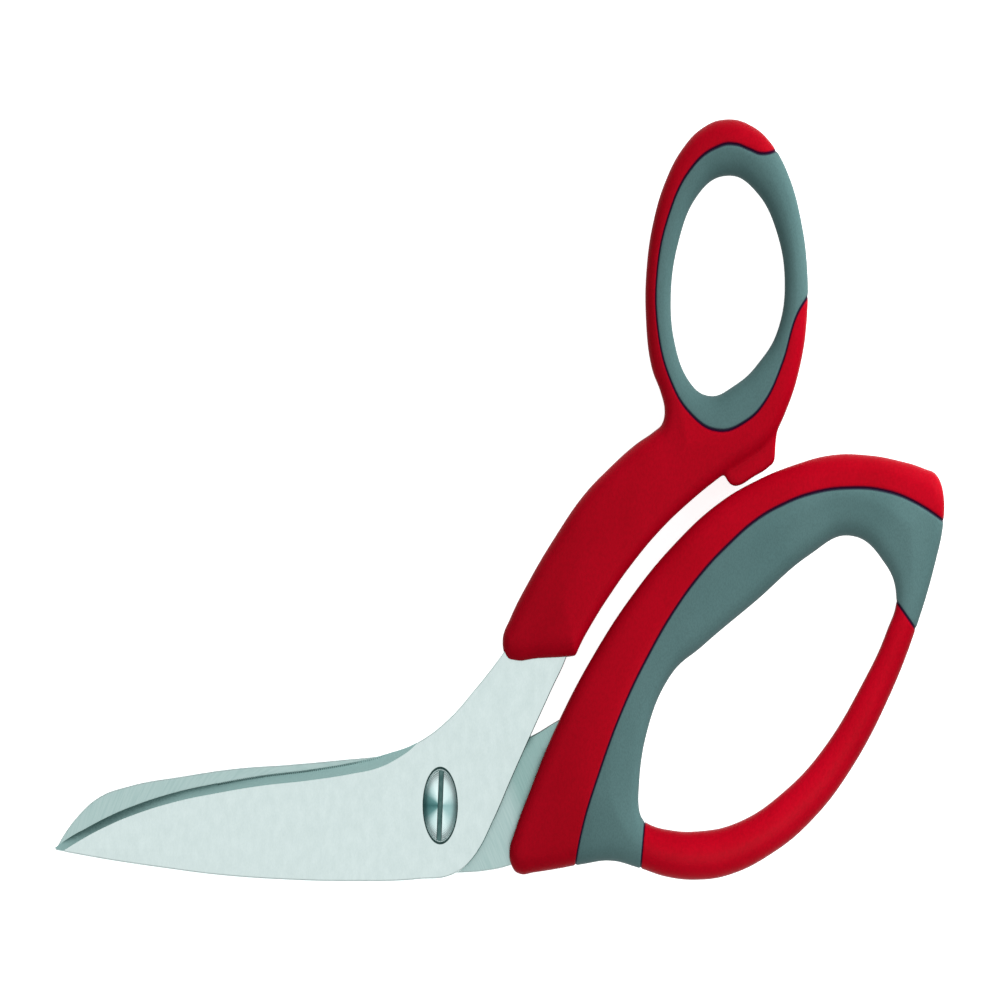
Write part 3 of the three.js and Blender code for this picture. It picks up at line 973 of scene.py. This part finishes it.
def sinkGroove(piece, body, lineDistance):
    # rounds a piece down towards the line between the plastics, and keeps the distance for its colour
    skin = BVHTree.FromObject(body, bpy.context.evaluated_depsgraph_get())
    form = bmesh.new()
    form.from_mesh(piece.data)
    kept = form.verts.layers.float.new("lineDistance")
    for vert in form.verts:
        away = lineDistance(vert.co)
        vert[kept] = away / mm
        share = away / (handles["grooveWidth"] * mm)
        if share < 1:
            normal = skin.find_nearest(vert.co)[1]
            vert.co -= normal * handles["grooveDepth"] * mm * (1 - share) ** 2
    form.to_mesh(piece.data)
    form.free()


def divide(body, name, material, region, operation):
    piece = copyOf(body, name)
    piece.data.materials.clear()
    piece.data.materials.append(material)
    carve(piece, region, operation, keep=True)
    return piece


def finishHandle(piece, node, owner):
    shade(piece, 50)
    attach(piece, owner)
    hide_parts(node)


def makeHandle(prefix, loops, gripLoop, bladeLoop, bladeMiddle, owner, extra=()):
    body = mould(prefix + "Body", loops, extra)
    lineDistance = distanceFrom([gripLoop])
    refineAlong(body, lineDistance)
    region = slab(prefix + "Region", [gripLoop], 2 * handles["thickness"], contact, steps=16)
    pocket = slab(prefix + "Pocket", [bladeLoop], blades["thickness"] + 2 * handles["pocketGap"],
                  bladeMiddle, grow=handles["pocketGap"])
    hard = divide(body, prefix + "_handle_hard", redPlastic, region, "DIFFERENCE")
    carve(hard, pocket)
    soft = divide(body, prefix + "_grip_soft", greyRubber, region, "INTERSECT")
    for piece in (hard, soft):
        sinkGroove(piece, body, lineDistance)
    finishHandle(hard, prefix + "_handle", owner)
    finishHandle(soft, prefix + "_grip", owner)
    for tool in (body, region):
        bpy.data.objects.remove(tool)
    print(prefix, "handle moulded:", len(hard.data.polygons), "and", len(soft.data.polygons), "faces")


lug = slab("lug", [lugLoop], handles["lugThickness"], contact, rim=handles["lugRim"])
makeHandle("thumb", [thumbLoop, thumbHole], thumbGripLoop, frontLoop, frontMiddle, thumbBody, [lug])
makeHandle("finger", [fingerLoop, fingerHole], fingerGripLoop, rearLoop, rearMiddle, fingerBody)


studio = {
    "floorSize": 3,
    "floorDrop": 0.0001,
    "floorColour": (0.62, 0.62, 0.62),
    "floorMottle": 0.01,
    "floorGlow": 0.85,     # keeps the shadows on the floor faint
    # strength of the white dome by height, from below the floor to straight above
    "dome": [(0.0, 1.0), (0.003, 0.14), (0.04, 0.34), (0.7, 0.5), (0.9, 1.2)],
    # low lamps: energy, place, what they face and size
    "lamps": [
        (1.5, (0.24, 0.16, 0.12), (0, 0, 0), (0.28, 0.18)),
        (0.040, (0.066, -0.050, 0.062), (0.066, -0.046, 0), (0.06, 0.04)),
        (0.026, (0.12, 0.05, 0.026), (0.09, 0, 0.008), (0.04, 0.015)),
    ],
    "viewWidth": 0.225,
    "viewStretch": 2.2,    # how much taller than wide the view draws things
    "viewHeight": 0.6,
}


def makeFloor():
    form = bmesh.new()
    bmesh.ops.create_grid(form, x_segments=1, y_segments=1, size=studio["floorSize"])
    bmesh.ops.translate(form, verts=form.verts, vec=(0, 0, cadBox[0][2] - studio["floorDrop"]))
    mesh = bpy.data.meshes.new("floor")
    form.to_mesh(mesh)
    form.free()
    floor = addObject("floor", mesh)
    material, tree, surface = newMaterial("paleFloor", 0.9)
    surface.inputs["Specular IOR Level"].default_value = 0.1
    surface.inputs["Emission Color"].default_value = (1, 1, 1, 1)
    surface.inputs["Emission Strength"].default_value = studio["floorGlow"]
    low = tuple(c - studio["floorMottle"] for c in studio["floorColour"])
    tree.links.new(ramp(tree, noise(tree, 3), low, studio["floorColour"]), surface.inputs["Base Color"])
    mesh.materials.append(material)
    floor.visible_diffuse = False


def makeLights():
    # a white dome, brightest overhead
    world = bpy.data.worlds.new("studio")
    scene.world = world
    world.use_nodes = True
    tree = world.node_tree
    place = tree.nodes.new("ShaderNodeTexCoord")
    parts = tree.nodes.new("ShaderNodeSeparateXYZ")
    tree.links.new(place.outputs["Generated"], parts.inputs["Vector"])
    levels = [(height, (strength,) * 3) for height, strength in studio["dome"]]
    (start, low), (end, high) = levels[0], levels[-1]
    dome = ramp(tree, parts.outputs["Z"], low, high, start, end, levels[1:-1])
    tree.links.new(dome, tree.nodes["Background"].inputs["Color"])
    for energy, spot, target, size in studio["lamps"]:
        light = bpy.data.lights.new("softbox", "AREA")
        light.shape = "RECTANGLE"
        light.size, light.size_y = size
        light.energy = energy
        lamp = addObject("softbox", light)
        lamp.location = spot
        lamp.visible_camera = False
        lamp.visible_glossy = False
        lamp.rotation_euler = (Vector(target) - lamp.location).to_track_quat("-Z", "Y").to_euler()


def makeCamera():
    lens = bpy.data.cameras.new("camera")
    lens.type = "ORTHO"
    lens.ortho_scale = studio["viewWidth"]
    lens.clip_start = 0.01
    lens.clip_end = 10
    camera = addObject("camera", lens)
    rig = addObject("cameraRig", None)
    # it looks straight down, and its leaning frame draws y taller than x by viewStretch
    squeeze = 1 / studio["viewStretch"]
    lean = math.sqrt(1 - squeeze * squeeze)
    camera.parent = rig
    camera.matrix_parent_inverse = Matrix(((1, 0, 0, 0), (0, squeeze, 0, 0),
                                           (0, lean, 1, studio["viewHeight"]), (0, 0, 0, 1)))
    scene.camera = camera


makeFloor()
makeLights()
makeCamera()
scene.view_settings.view_transform = "Standard"
print("studio set")
